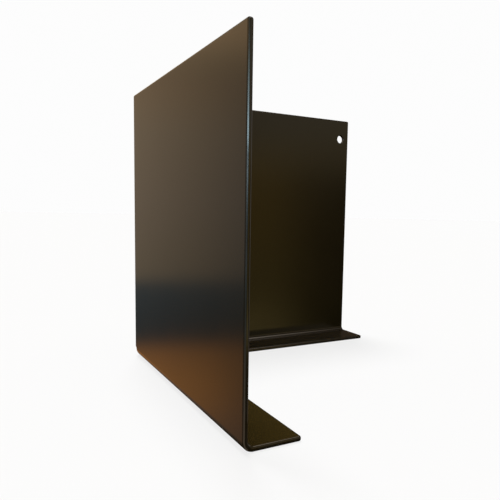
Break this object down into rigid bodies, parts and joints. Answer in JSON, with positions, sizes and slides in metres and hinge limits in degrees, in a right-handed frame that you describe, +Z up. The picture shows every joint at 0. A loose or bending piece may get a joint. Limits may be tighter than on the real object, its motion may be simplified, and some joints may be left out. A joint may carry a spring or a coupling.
{
  "type": "fireplace screen",
  "caption": "Free-standing corner fireplace screen: square steel walls at a right angle, each on its own inward foot, bolted along the hidden vertical seam.",
  "frame": {"origin": "on the floor, at the middle of the square that the screen covers in plan", "axes": "+Z up; +X along the front wall from the corner to its free edge; +Y along the side wall from its free edge to the corner, so the front wall's inner side faces -Y"},
  "size_m": [0.4, 0.4, 0.4],
  "materials": {
    "powder_coat": "satin black powder coat with a fine orange peel",
    "blackened_steel": "blackened steel, satin"
  },
  "bodies": {
    "root": {"side_panel": "powder_coat", "front_panel": "powder_coat", "seam_screw_1": "blackened_steel", "seam_screw_2": "blackened_steel", "seam_screw_3": "blackened_steel", "seam_washer_1": "blackened_steel", "seam_washer_2": "blackened_steel", "seam_washer_3": "blackened_steel", "seam_nut_1": "blackened_steel", "seam_nut_2": "blackened_steel", "seam_nut_3": "blackened_steel"}
  },
  "joints": []
}
